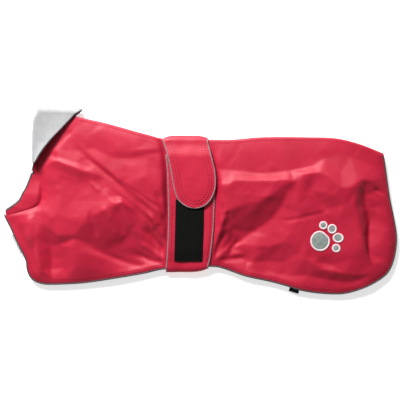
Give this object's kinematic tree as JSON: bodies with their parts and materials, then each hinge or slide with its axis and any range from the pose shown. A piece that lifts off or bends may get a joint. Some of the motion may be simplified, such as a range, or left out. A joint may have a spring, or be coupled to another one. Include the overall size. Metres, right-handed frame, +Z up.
{
  "type": "dog coat, laid flat and folded along the spine",
  "caption": "Red coated-nylon dog coat with turned-down grey-lined collar, piped edges and a closed belly belt, lying flat on its side.",
  "frame": {"origin": "middle of the laid coat in plan, on the surface it rests on", "axes": "+X from the neck to the tail end, +Y from the hem to the fold along the spine, +Z up from the surface"},
  "size_m": [0.5282, 0.2517, 0.0214],
  "materials": {
    "red_nylon": "satin",
    "grey_fleece": "matte",
    "piping": "satin",
    "black_loop_tape": "matte",
    "pale_loop_tape": "matte",
    "reflective": "satin",
    "black_label": "matte"
  },
  "bodies": {
    "root": {"belt_base": "red_nylon", "belt_binding_base_left": "piping", "belt_binding_base_right": "piping", "belt_binding_tongue": "piping", "belt_binding_under_left": "piping", "belt_binding_under_right": "piping", "belt_tape": "black_loop_tape", "belt_tongue": "red_nylon", "belt_underside": "red_nylon", "body_lower": "red_nylon", "body_upper": "red_nylon", "chest_tape": "pale_loop_tape", "collar_binding_lower": "piping", "collar_binding_upper": "piping", "collar_lining_lower": "grey_fleece", "collar_lining_upper": "grey_fleece", "collar_lower": "red_nylon", "collar_upper": "red_nylon", "hem_binding_lower": "piping", "hem_binding_upper": "piping", "label": "black_label", "paw_pad": "reflective", "paw_toe_1": "reflective", "paw_toe_2": "reflective", "paw_toe_3": "reflective", "paw_toe_4": "reflective"}
  },
  "joints": []
}
